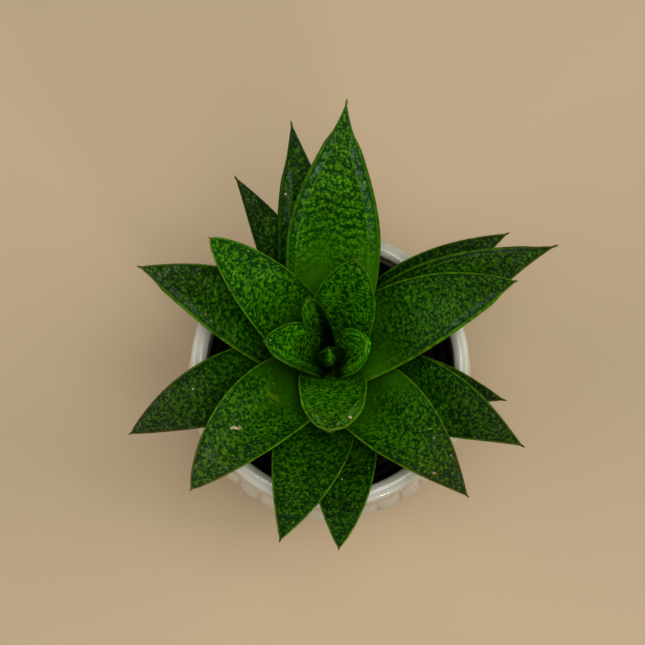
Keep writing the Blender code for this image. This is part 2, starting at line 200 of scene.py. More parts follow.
SKINS = {
    "leaf_bud": Skin(
        0.80, 3.2, 0.00, 1.5, 0.10, 0.0, 0.0,
        lined=True, keel=0.8, age_and_sheen=0.0, painted_shade_left=0.75, painted_shade_right=0.8, edged=0.3,
    ),
    "leaf_inner_1": Skin(
        1.40, 3.4, 0.00, 1.6, 0.45, 0.0, 0.0,
        lined=True, left=1.4, pale=0.6, keel=0.3, age_and_sheen=0.0, painted_shade_right=0.6, edged=0.4,
    ),
    "leaf_inner_2": Skin(
        1.10, 2.6, 0.00, 2.3, 0.20, 0.0, 0.0,
        lined=True, left=1.2, right=1.9, pale=0.6, age_and_sheen=0.0, edged=0.3,
    ),
    "leaf_inner_3": Skin(
        1.25, 0.95, 0.05, 1.22, 0.18, 0.2, 0.0, 0.45, right=1.4, pale=0.3, age_and_sheen=0.0, edged=0.5,
    ),
    "leaf_inner_4": Skin(
        1.05, 1.60, 0.05, 1.22, 0.20, 0.0, 0.0, lined=True, left=1.7, pale=0.45, age_and_sheen=0.0, edged=0.45,
    ),
    "leaf_inner_5": Skin(
        1.20, 0.85, 0.10, 1.48, 0.05, 0.1, 0.0,
        left=2.0, right=1.7, facet_start=0.45, pale=0.45, age_and_sheen=0.55, edged=0.7,
    ),
    "leaf_middle_1": Skin(
        1.00, 0.92, 0.34, 1.12, 0.06, 0.60, 0.018,
        left=2.1, right=2.4, facet_start=0.2, age_and_sheen=0.4, edged=0.45,
    ),
    "leaf_middle_2": Skin(1.05, 0.98, 0.22, 1.20, 0.12, 0.2, age_and_sheen=0.1, edged=0.7),
    "leaf_middle_3": Skin(1.10, 0.82, 0.22, 0.84, -0.2, 0.2, right=2.0, age_and_sheen=0.4, glow=0.4),
    "leaf_middle_4": Skin(1.12, 0.88, 0.26, 1.00, 0.12, 0.3, age_and_sheen=0.8),
    "leaf_middle_5": Skin(1.12, 0.88, 0.26, 0.94, 0.12, 0.3, age_and_sheen=1.0),
    "leaf_outer_1": Skin(1.10, 0.90, 0.18, 0.85, 0.2, 0.3, left=1.8, age_and_sheen=0.6),
    "leaf_outer_2": Skin(1.05, 0.86, 0.18, 0.82, 0.2, 0.3, left=1.2, age_and_sheen=0.7),
    "leaf_outer_3": Skin(0.86, 0.76, 0.20, 0.76, 0.2, age_and_sheen=1.0),
    "leaf_outer_4": Skin(1.05, 0.86, 0.18, 0.88, 0.2, 0.3, left=2.4, age_and_sheen=0.6, edged=0.35),
    "leaf_outer_5": Skin(1.00, 0.84, 0.20, 0.78, 0.2, age_and_sheen=0.3),
    "leaf_outer_7": Skin(1.00, 0.84, 0.20, 0.80, 0.2, age_and_sheen=0.3),
    "leaf_outer_9": Skin(0.86, 0.76, 0.20, 0.80, 0.2, age_and_sheen=0.7, edged=0.35),
}
OUTER_SKIN = Skin(1.00, 0.84, 0.20, 0.80, 0.2, age_and_sheen=0.7)

# Healed scratches: their place across and along the leaf, and their half length each way
SCARS = {"leaf_middle_4": (1.7, 20.7, 2.2, 0.7)}


class Speck(NamedTuple):
    """A grain that lies on a leaf, placed by the pixel of the photo that shows it."""

    across: float
    down: float
    size: float
    brown: float = 0.0
    long: float = 1.0  # how far it is drawn out to the right


SPECKS = (
    Speck(193, 389, 0.38),
    Speck(286, 194, 0.42),
    Speck(350, 417.5, 0.50),
    Speck(434, 473, 0.50, 0.6),
    Speck(434, 438, 0.34, 0.5),
    Speck(430, 429, 0.26, 0.3),
    Speck(342, 479, 0.28),
    Speck(369, 468, 0.28, 0.5),
    Speck(451, 455.5, 0.24, 0.2),
    Speck(270, 340, 0.22, 0.3, 1.5),
    Speck(206, 314, 0.24, 0.3),
    Speck(366, 347, 0.34, 0.9),
    Speck(333, 372, 0.30, 1.0),
    Speck(234.5, 427.8, 0.50, 0.1, 2.6),
    Speck(239.5, 427.5, 0.55, 0.4),
    Speck(231.5, 428, 0.40, 0.0, 1.4),
    Speck(228, 347, 0.26, 0.8),
)


class Shader:
    """The node tree of one material, with a short call for each kind of node."""

    def __init__(self, name):
        self.material = bpy.data.materials.new(name)
        self.material.use_nodes = True
        self.tree = self.material.node_tree
        self.surface = self.tree.nodes["Principled BSDF"]

    def feed(self, socket, value):
        """Puts a number, a colour or another node's output into a socket."""
        if isinstance(value, bpy.types.NodeSocket):
            self.tree.links.new(value, socket)
        elif isinstance(value, tuple) and socket.type == "RGBA":
            socket.default_value = (*value, 1.0)
        else:
            socket.default_value = value

    def set(self, **values):
        """Sets the surface's own sockets: base_color stands for Base Color, and so on."""
        for name, value in values.items():
            label = name.replace("_", " ").title().replace("Ior", "IOR")
            self.feed(self.surface.inputs[label], value)

    def node(self, kind, inputs, **settings):
        """Adds a node, with values or other nodes' outputs in its inputs."""
        made = self.tree.nodes.new("ShaderNode" + kind)
        for name, value in settings.items():
            setattr(made, name, value)
        for place, value in inputs.items():
            self.feed(made.inputs[place], value)
        return made

    def attribute(self, name):
        """A number that is stored on the mesh's points."""
        return self.node("Attribute", {}, attribute_name=name).outputs["Fac"]

    def place(self):
        """The point's coordinates on the object."""
        return self.node("TexCoord", {}).outputs["Object"]

    def noise(self, size_mm, detail=3.0, rough=0.5, stretch=(1, 1, 1)):
        """Smooth noise from 0 to 1 with features of about this size."""
        vector = self.node("Mapping", {"Vector": self.place(), "Scale": stretch}).outputs["Vector"]
        inputs = {"Vector": vector, "Scale": 1 / (size_mm * MM), "Detail": detail, "Roughness": rough}
        return self.node("TexNoise", inputs).outputs["Fac"]

    def cells(self, size_mm):
        """Distance to the nearest of many strewn points, about 0 to 1."""
        inputs = {"Vector": self.place(), "Scale": 1 / (size_mm * MM)}
        return self.node("TexVoronoi", inputs).outputs["Distance"]

    def add(self, first, second):
        return self.node("Math", {0: first, 1: second}, operation="ADD").outputs[0]

    def times(self, first, second):
        return self.node("Math", {0: first, 1: second}, operation="MULTIPLY").outputs[0]

    def fade(self, value, low, high, bottom=0.0, top=1.0):
        """Runs smoothly from bottom to top as value goes from low to high."""
        inputs = {"Value": value, "From Min": low, "From Max": high, "To Min": bottom, "To Max": top}
        return self.node("MapRange", inputs, interpolation_type="SMOOTHSTEP").outputs["Result"]

    def mix(self, share, first, second, blend="MIX"):
        """A colour between first and second."""
        made = self.node("Mix", {}, data_type="RGBA", blend_type=blend)
        self.feed(made.inputs[0], share)
        self.feed(made.inputs[6], first)
        self.feed(made.inputs[7], second)
        return made.outputs[2]

    def bump(self, height, depth_mm, strength):
        """Fine relief that is too small for the mesh."""
        inputs = {"Height": height, "Distance": depth_mm * MM, "Strength": strength}
        normal = self.node("Bump", inputs).outputs["Normal"]
        self.feed(self.surface.inputs["Normal"], normal)


def leaf_material():
    """Dark green skin with paler raised spots, lime margins and brown bristles."""
    s = Shader("leaf")
    rim, old, along = s.attribute("rim"), s.attribute("old"), s.attribute("along")
    broad, fine = s.noise(7.0, 2.0), s.noise(0.55, 3.0, 0.6)

    # The spots, with ragged outlines, over a darker skin, and the smooth base
    dots = s.fade(s.cells(0.90), 0.15, 0.62, 1.0, 0.0)
    speckled = s.add(s.times(s.attribute("spot"), 0.72), s.times(dots, 0.34))
    ragged = s.add(speckled, s.times(s.add(fine, -0.52), 0.35))
    valley = s.mix(broad, (0.0030, 0.040, 0.0016), (0.0090, 0.066, 0.0010))
    flank = s.mix(broad, (0.036, 0.138, 0.0012), (0.058, 0.175, 0.0010))
    hill = s.mix(s.noise(2.2, 1.0), (0.085, 0.225, 0.0015), (0.160, 0.310, 0.0040))
    # Towards the tips of older leaves the skin greys, partly with age and partly as painted sheen
    valley = s.mix(old, valley, (0.026, 0.050, 0.016))
    flank = s.mix(old, flank, (0.068, 0.130, 0.009))
    hill = s.mix(old, hill, (0.150, 0.255, 0.014))
    skin = s.mix(s.fade(ragged, 0.18, 0.52), valley, flank)
    skin = s.mix(s.fade(ragged, 0.46, 1.00), skin, hill)
    base = s.mix(s.fade(fine, 0.2, 0.8), (0.046, 0.155, 0.0010), (0.070, 0.190, 0.0010))
    colour = s.mix(s.attribute("smooth"), skin, base)

    # Margins, bristle, painted sheen on the facets and healed scratches
    lime = s.mix(s.fade(old, 0.30, 0.90), (0.140, 0.290, 0.004), (0.130, 0.115, 0.012))
    # The lime of the margins, which on the ridges and midribs is partly painted highlight
    colour = s.mix(s.times(rim, s.fade(s.noise(1.6, 2.0), 0.3, 0.7, 0.40, 0.95)), colour, lime)
    colour = s.mix(s.fade(along, 0.970, 0.990), colour, (0.110, 0.110, 0.020))
    # Painted sheen: bluish-grey patches painted on the facets of older leaves
    painted_sheen_share = s.times(s.attribute("painted_sheen"), s.fade(s.noise(1.5, 4.0, 0.65), 0.42, 0.62, 0.0, 0.85))
    painted_sheen_share = s.times(painted_sheen_share, s.fade(fine, 0.40, 0.58, 0.35, 1.0))
    colour = s.mix(painted_sheen_share, colour, (0.120, 0.170, 0.145))
    healed = s.times(s.attribute("scar"), s.fade(fine, 0.3, 0.6, 0.3, 1.0))
    colour = s.mix(healed, colour, (0.22, 0.30, 0.012))

    # The tone carries painted shade at the roots and beside the midribs, and painted light on some roots
    shade = s.times(s.attribute("tone"), s.fade(broad, 0.3, 0.75, 0.90, 1.08))
    grey = s.node("CombineColor", {0: shade, 1: shade, 2: shade}).outputs[0]
    colour = s.mix(1.0, colour, grey, "MULTIPLY")
    patches = s.fade(s.noise(4.0, 3.0, 0.6), 0.48, 0.66)
    sheen = s.fade(s.times(old, patches), 0.0, 1.0, 0.12, 0.45)
    rough = s.add(s.fade(ragged, 0.1, 0.7, 0.42, 0.32), s.times(fine, 0.08))
    s.set(base_color=colour, metallic=0.0, specular_ior_level=sheen, roughness=rough)
    s.bump(s.add(s.times(fine, 0.7), s.noise(0.16, 2.0)), 0.04, 0.6)
    return s.material


def glaze_material():
    """Cream reactive glaze, brown where it breaks over the foot's edges and browner in the lobes'
    grooves, with a few specks; the brown under the collar and inside the mouth is painted shade.
    """
    s = Shader("glaze")
    thin_glaze_and_shade, bare = s.attribute("thin_glaze_and_shade"), s.attribute("bare")
    cloud, fine = s.noise(7.0, 3.0, 0.55), s.noise(1.1, 3.0, 0.6)
    cream = s.mix(s.fade(cloud, 0.3, 0.7), (0.47, 0.45, 0.36), (0.58, 0.555, 0.47))
    brown = s.mix(fine, (0.22, 0.135, 0.095), (0.36, 0.26, 0.20))
    # How brown the glaze is: where it breaks, in the grooves, and painted shade under the collar and
    # inside the mouth
    browned_share = s.add(thin_glaze_and_shade, s.times(s.add(fine, -0.5), 0.7))
    colour = s.mix(s.fade(browned_share, 0.25, 0.95, 0.0, 0.85), cream, brown)
    specks = s.fade(s.cells(2.6), 0.035, 0.075, 1.0, 0.0)
    colour = s.mix(s.times(specks, 0.55), colour, (0.15, 0.09, 0.05))
    clay = s.mix(fine, (0.40, 0.27, 0.17), (0.52, 0.37, 0.25))
    colour = s.mix(bare, colour, clay)
    coat = s.fade(thin_glaze_and_shade, 0.05, 0.35, 0.45, 0.10)
    rough = s.add(s.fade(cloud, 0.2, 0.8, 0.28, 0.40), s.times(bare, 0.55))
    s.set(base_color=colour, metallic=0.0, specular_ior_level=0.3, roughness=rough)
    s.set(coat_weight=coat, coat_roughness=0.06)
    s.bump(s.add(cloud, s.times(s.noise(0.5, 2.0), 0.12)), 0.12, 0.5)
    return s.material


def plastic_material():
    """Black moulded plastic with dust and fine scratches."""
    s = Shader("nursery_plastic")
    dust = s.fade(s.noise(3.0, 4.0, 0.7), 0.5, 0.8)
    colour = s.mix(dust, (0.006, 0.006, 0.007), (0.022, 0.018, 0.015))
    rough = s.add(s.times(dust, 0.25), 0.60)
    s.set(base_color=colour, metallic=0.0, specular_ior_level=0.15, roughness=rough)
    s.bump(s.noise(0.6, 3.0, 0.6, (1, 1, 0.15)), 0.05, 0.5)
    return s.material


def soil_material(name, dark, pale):
    """Peat and bark, from dark to pale, with grains far smaller than its crumbs."""
    s = Shader(name)
    coarse, fine = s.noise(2.4, 4.0, 0.65), s.noise(0.5, 3.0, 0.7)
    colour = s.mix(s.fade(coarse, 0.35, 0.7), dark, pale)
    colour = s.mix(s.times(s.fade(fine, 0.58, 0.72), 0.5), colour, (0.11, 0.085, 0.06))
    s.set(base_color=colour, metallic=0.0, roughness=s.fade(coarse, 0.3, 0.7, 0.85, 0.98))
    s.bump(s.add(coarse, s.times(fine, 0.5)), 0.5, 0.8)
    return s.material


def stem_material():
    """The stem's pale green skin, browned towards the soil."""
    s = Shader("stem")
    fibre = s.noise(0.7, 4.0, 0.6, (1, 1, 0.2))
    height = s.node("SeparateXYZ", {0: s.place()}).outputs["Z"]
    brown = s.fade(height, (SOIL_TOP - 0.5) * MM, (SOIL_TOP + 7.5) * MM, 1.0, 0.15)
    colour = s.mix(fibre, (0.07, 0.11, 0.02), (0.13, 0.16, 0.05))
    colour = s.mix(brown, colour, s.mix(fibre, (0.06, 0.035, 0.018), (0.12, 0.075, 0.04)))
    s.set(base_color=colour, metallic=0.0, roughness=s.fade(fibre, 0.2, 0.8, 0.5, 0.7))
    s.bump(fibre, 0.2, 0.6)
    return s.material


def grit_material():
    """Cream grains of sand and perlite dust."""
    s = Shader("grit")
    fine = s.noise(0.3, 2.0)
    cream = s.mix(fine, (0.40, 0.33, 0.17), (0.58, 0.52, 0.34))
    colour = s.mix(s.attribute("brown"), cream, s.mix(fine, (0.16, 0.075, 0.03), (0.30, 0.15, 0.04)))
    s.set(base_color=colour, metallic=0.0, roughness=s.fade(fine, 0.2, 0.8, 0.7, 0.9))
    s.bump(fine, 0.1, 0.5)
    return s.material


def mesh_object(name, points, faces, surface, attributes=None):
    """A smooth mesh from points in millimetres, with numbers stored on its points."""
    mesh = bpy.data.meshes.new(name)
    mesh.from_pydata((np.asarray(points) * MM).tolist(), [], [tuple(face) for face in faces])
    for label, values in (attributes or {}).items():
        layer = mesh.attributes.new(label, "FLOAT", "POINT")
        layer.data.foreach_set("value", np.asarray(values, np.float32).ravel())
    mesh.materials.append(surface)
    mesh.shade_smooth()
    mesh.update()
    made = bpy.data.objects.new(name, mesh)
    bpy.context.scene.collection.objects.link(made)
    return made


def stand_for(made, node):
    """Puts a mesh in the place of a node of the solids."""
    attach(made, "root")
    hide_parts(node)
    return made


def loft(rings, around):
    """Faces between rings of points, each a closed loop, with both ends closed by a fan."""
    i = np.arange(around)
    j = (i + 1) % around
    starts = np.arange(rings - 1)[:, None] * around
    quads = np.stack([starts + i, starts + j, starts + around + j, starts + around + i], axis=-1)
    faces = quads.reshape(-1, 4).tolist()
    first, last = rings * around, rings * around + 1
    end = (rings - 1) * around
    faces += [(first, b, a) for a, b in zip(i.tolist(), j.tolist())]
    faces += [(last, end + a, end + b) for a, b in zip(i.tolist(), j.tolist())]
    return faces


def hashed(i, j, salt):
    """A repeatable number from 0 to 1 for each pair of whole numbers."""
    n = (i * 73856093 + j * 19349663 + salt * 83492791) & 0x7FFFFFFF
    n = ((n ^ (n >> 13)) * 1274126177) & 0x7FFFFFFF
    n = ((n ^ (n >> 16)) * 69069) & 0x7FFFFFFF
    return ((n >> 8) % 4096) / 4095


def spots(x, y, across, along, salt, swell=1.0):
    """Heights from 0 to 1 of raised spots strewn in loose rows, about one to each cell."""
    row = y / along
    column = x / across
    flat = np.ones_like(row)
    for up in (-1, 0, 1):
        for right in (-1, 0, 1):
            j = np.floor(row).astype(np.int64) + up
            shifted = column + 0.5 * (j % 2)
            i = np.floor(shifted).astype(np.int64) + right
            centre_x = i + 0.5 + 0.60 * (hashed(i, j, salt) - 0.5)
            centre_y = j + 0.5 + 0.40 * (hashed(i, j, salt + 1) - 0.5)
            size = (0.56 + 0.24 * hashed(i, j, salt + 2)) * swell
            height = 0.50 + 0.50 * hashed(i, j, salt + 3)
            distance = np.hypot(shifted - centre_x, row - centre_y) / size
            flat *= 1 - height * np.clip(1 - distance**2, 0, 1) ** 1.5
    return 1 - flat


def smooth_step(value, low, high):
    """Runs smoothly from 0 to 1 as value goes from low to high."""
    share = np.clip((value - low) / (high - low), 0, 1)
    return share * share * (3 - 2 * share)


def stem_radius(height):
    """The stem's radius: it tapers from its shoulder to the growing point."""
    share = (GROWING_POINT - height) / (GROWING_POINT - STEM_SHOULDER)
    return STEM_RADIUS * min(max(share, 0.0), 1.0)


def midrib(leaf):
    """The root, control point and tip of a blade's midrib, and the level way to its right."""
    turn = math.radians(leaf.turn)
    reach = stem_radius(leaf.height) + GAP
    root = np.array([reach * math.cos(turn), reach * math.sin(turn), leaf.height])
    tip = np.array(leaf.tip, float)
    chord = tip - root
    right = np.array([chord[1], -chord[0], 0.0]) / math.hypot(chord[0], chord[1])
    up = np.cross(right, chord / np.linalg.norm(chord))
    control = (root + tip) / 2 + 2 * leaf.arch * up - 2 * leaf.sickle * right
    return root, control, tip, right


def blade_length(leaf):
    """The straight way from a leaf's root to its tip."""
    return np.linalg.norm(np.array(leaf.tip) - midrib(leaf)[0])


def half_width(leaf, t, blade_end):
    """Half of the blade's width. Past blade_end a bristle runs out to a fine point."""
    s = np.clip(t / blade_end, 0.0, 1.0)
    near = ROOT_SHARE + (1 - ROOT_SHARE) * (1 - (1 - np.clip(s / leaf.widest, 0, 1)) ** 2)
    far = (1 - np.clip((s - leaf.widest) / (1 - leaf.widest), 0, 1) ** 2) ** leaf.taper
    blade = leaf.width / 2 * np.where(s < leaf.widest, near, far)
    past = np.clip((t - blade_end) / (1 - blade_end), 0, 1)
    return np.maximum(blade, BRISTLE_RADIUS * (1 - 0.85 * past))


def blade_face(leaf, t, v, blade_end, is_upper):
    """Points of a leaf's upper or lower face, at the shares t along and v across (-1 to 1)."""
    root, control, tip, right = midrib(leaf)
    t = t[:, None]
    place = (1 - t) ** 2 * root + 2 * t * (1 - t) * control + t**2 * tip
    ahead = 2 * (1 - t) * (control - root) + 2 * t * (tip - control)
    ahead /= np.linalg.norm(ahead, axis=1, keepdims=True)
    side = right - (ahead @ right)[:, None] * ahead
    side /= np.linalg.norm(side, axis=1, keepdims=True)
    up = np.cross(side, ahead)
    half = half_width(leaf, t, blade_end)
    fold = np.radians(leaf.root_fold + (leaf.tip_fold - leaf.root_fold) * np.sqrt(t))
    edge = EDGE_THICK * (1 - 0.8 * np.clip((t - blade_end) / (1 - blade_end), 0, 1))
    body = leaf.thick * (0.55 + 0.45 * np.sin(math.pi * t**0.8))
    body = np.minimum(body, edge + 0.62 * half)
    angle = fold * v
    shift = 0.0 if is_upper else -(edge + (body - edge) * (1 - np.abs(v) ** 1.5))
    across = half * np.sin(angle) / fold - shift * np.sin(angle)
    lift = half * (1 - np.cos(angle)) / fold + shift * np.cos(angle)
    return place[:, None, :] + across[..., None] * side[:, None, :] + lift[..., None] * up[:, None, :]


def upward(face):
    """Unit normals of a grid of points, on the side of the leaf's upper face."""
    normal = np.cross(np.gradient(face, axis=1), np.gradient(face, axis=0))
    return normal / np.maximum(np.linalg.norm(normal, axis=2, keepdims=True), 1e-9)


def speckle(skin, x, y, column, middle, is_upper, salt):
    """Heights from 0 to 1 of a face's raised spots, in rows that bend, tilt, wander and dip."""
    wander = 0.35 * np.sin(x / 2.3 + salt) + 0.3 * np.sin(x / 1.1 + y / 3.7 + 2.0 * salt)
    bowed = y + skin.bow * x**2 + skin.slant * x + wander
    swayed = column + 0.35 * np.sin(y / 2.9 + salt)
    grow = 1.0 if is_upper else 1.5
    raised = spots(swayed, bowed, skin.across * grow, skin.along * grow, salt, 1.00 + 0.14 * middle)
    wave = 0.5 + 0.5 * np.sin(2 * math.pi * bowed / CREASE_PITCH + 1.3 * np.sin(x / 2.6 + salt))
    return raised * (1 - skin.crease * wave**3)


def facets(skin, x, half, inset, s):
    """The width of the facet beside the margin, and the shares of the facet, its groove and its ridge."""
    wide = np.where(x < 0, skin.left, skin.right)
    wide = wide * smooth_step(half / np.maximum(wide, 0.1), 0.8, 2.0)
    wide = wide * smooth_step(s, skin.facet_start, skin.facet_start + 0.25)
    there = smooth_step(wide, 0.2, 0.6)
    on_facet = smooth_step(wide - inset, -0.15, 0.45)
    groove = smooth_step(inset - wide, -0.05, 0.15) * (1 - smooth_step(inset - wide, 0.45, 0.80))
    ridge = 1 - smooth_step(np.abs(inset - wide), 0.06, 0.26)
    return wide, on_facet, groove * there, ridge * there


def painted_facet_sheen(skin, wide, on_facet, inset, s):
    """How much painted sheen each point gets: a bluish-grey highlight painted on the facets of older
    leaves.
    """
    age_and_sheen = smooth_step(skin.age_and_sheen, 0.05, 0.40) * (1 - skin.pale) ** 2
    inner = smooth_step(inset / np.maximum(wide, 0.1), 0.15, 0.50)
    return age_and_sheen * on_facet * inner * smooth_step(wide, 0.4, 1.2) * smooth_step(s, 0.45, 0.75)


def scratches(leaf, x, y):
    """How much of each point a healed scratch covers."""
    if leaf.name not in SCARS:
        return 0 * x
    across, along, wide, long = SCARS[leaf.name]
    tilted = y - along - 0.25 * (x - across) + 0.15 * np.sin(x * 2.0)
    return np.exp(-(((x - across) / wide) ** 2) - (tilted / long) ** 2)


def brightness(skin, t, v):
    """A face's tone: painted shade at the root and beside the midrib, and painted light on a root that
    glows.
    """
    lit = 0.15 + 0.85 * smooth_step(t, skin.deep - 0.12, skin.deep + 0.20)
    lit = lit * (1 + skin.glow * (1 - smooth_step(t, 0.15, 0.50)))
    # Painted shade beside the midrib, fading at the tip
    dark = skin.painted_shade_left * smooth_step(-v, 0.05, 0.45) + skin.painted_shade_right * smooth_step(v, 0.05, 0.45)
    dark = dark[None, :] * (1 - skin.edged * smooth_step(t, 0.82, 1.0))[:, None]
    return skin.tone * lit[:, None] * (1 - dark)


def dress(leaf, face, t, v, blade_end, salt, is_upper):
    """Raises the spots, facets and margin of one face, and returns it with the numbers for its colour."""
    skin = SKINS.get(leaf.name, OUTER_SKIN)
    half = half_width(leaf, t, blade_end)[:, None]
    x = v[None, :] * half
    y = np.broadcast_to(t[:, None] * blade_length(leaf), x.shape)
    s = t[:, None] / blade_end
    inset = half - np.abs(x)
    near_edge = smooth_step(inset, 0.20, 0.60)
    middle = smooth_step(inset, 0.4, 3.6) * (1 - 0.8 * smooth_step(s, 0.62, 1.0))
    column = np.broadcast_to(v * leaf.width / 2, x.shape) if skin.lined else x
    raised = speckle(skin, x, y, column, middle, is_upper, salt)
    wide, on_facet, groove, ridge = facets(skin, x, half, inset, s)
    teeth_like = np.sin(y / 0.45 + 2.0 * np.sin(y / 1.7 + salt))
    # Pale facets, partly their own green and partly painted light, with painted shade in the groove
    # inside the ridge
    raised = raised + skin.pale * on_facet * (0.80 - raised) * 0.8
    raised *= 1 - skin.pale * groove * (0.75 + 0.25 * teeth_like)
    # Along a keeled midrib the spots thin out on both sides, and the ridge gets a painted highlight
    raised *= 1 - skin.keel * 0.5 * smooth_step(np.abs(x), 0.8, 3.0)
    keel = 0.9 * skin.keel * (1 - smooth_step(np.abs(x), 0.12, 0.55))
    rim = skin.edged * (1 - smooth_step(inset, *EDGE_FADE))
    # The ridges beside the facets and the midrib take the margins' lime, partly as painted highlight
    rim = np.maximum(rim, np.maximum(ridge * (0.475 + 0.225 * teeth_like), keel))
    begin = smooth_step(s + 0.05 * np.sin(x / 2.1 + salt), skin.start - 0.10, skin.start + 0.26)

    swell = 0.30 * np.sin(math.pi * v[None, :]) ** 2 * smooth_step(half, 2.0, 6.0)
    dents = 0.12 * np.sin(x / 2.7 + salt) * np.sin(y / 4.1 + 1.7 * salt) * smooth_step(half, 1.5, 4.0)
    shape = swell + dents * smooth_step(inset, *EDGE_FADE) - FACET_SLOPE * np.clip(wide - inset, 0, None)
    lift = (SPOT_HEIGHT * raised * begin * near_edge + RIDGE_HEIGHT * rim) * smooth_step(half, 0.5, 1.5)
    face = face + upward(face) * (shape + (lift if is_upper else -lift))[..., None]
    marks = {
        "spot": raised * near_edge * (0.85 + 0.15 * middle),
        "smooth": 1 - begin,
        "rim": rim,
        "tone": brightness(skin, t, v),
        "scar": scratches(leaf, x, y) if is_upper else 0 * x,
        # painted sheen on the facets
        "painted_sheen": painted_facet_sheen(skin, wide, on_facet, inset, s),
    }
    return face, marks


def margin(from_face, to_face, inner, bulge):
    """The rounded edge between two faces, its middle line, and the ways out and across there."""
    middle, across = (from_face + to_face) / 2, (from_face - to_face) / 2
    out = from_face - inner
    flat = across / np.maximum(np.linalg.norm(across, axis=1, keepdims=True), 1e-9)
    out = out - (out * flat).sum(axis=1, keepdims=True) * flat
    out /= np.maximum(np.linalg.norm(out, axis=1, keepdims=True), 1e-9)
    turn = np.linspace(0, math.pi, EDGE_STEPS + 2)[None, 1:-1, None]
    arc = middle[:, None] + across[:, None] * np.cos(turn) + (out * bulge)[:, None] * np.sin(turn)
    return arc, middle + out * bulge, out, flat


def teeth(line, out, flat, t, draw):
    """Small horny teeth along a margin, each a pyramid that leans towards the leaf's tip."""
    run = np.concatenate([[0], np.cumsum(np.linalg.norm(np.diff(line, axis=0), axis=1))])
    spans = np.diff(line, axis=0) / np.maximum(np.diff(run)[:, None], 1e-9)
    count = int(run[-1] * (TOOTH_LAST - TOOTH_FIRST) / TOOTH_PITCH)
    points, faces, along = [], [], []
    for k in range(count):
        at = run[-1] * TOOTH_FIRST + (k + 0.5 * draw.random()) * TOOTH_PITCH
        near = min(int(np.searchsorted(run, at)), len(spans) - 1)
        size = TOOTH_HEIGHT * (0.7 + 0.5 * draw.random()) * min(1.0, 3.0 * (1 - at / run[-1]) + 0.3)
        seat = line[near] - out[near] * TOOTH_SUNK
        ahead = spans[near]
        start = len(points)
        foot = 0.75 * size
        points += [seat - ahead * foot, seat - flat[near] * 0.6 * foot]
        points += [seat + ahead * foot, seat + flat[near] * 0.6 * foot]
        points.append(seat + out[near] * (TOOTH_SUNK + size) + ahead * 0.5 * size)
        a, b, c, d, top = range(start, start + 5)
        faces += [(a, b, top), (b, c, top), (c, d, top), (d, a, top), (d, c, b, a)]
        along += [t[near]] * 5
    return points, faces, along


def stations(length):
    """Shares along a leaf where it has a ring of points, and the share where its bristle begins."""
    blade_end = 1 - BRISTLE_LENGTH / length
    plain_end = ROOT_END * blade_end
    plain = np.linspace(0, plain_end, int(ROOT_END * length / ROOT_STEP), endpoint=False)
    blade = np.linspace(plain_end, blade_end, int((1 - ROOT_END) * length / MESH_STEP))
    bristle = np.linspace(blade_end, 1, BRISTLE_STEPS + 1)[1:]
    return np.concatenate([plain, blade, bristle]), blade_end


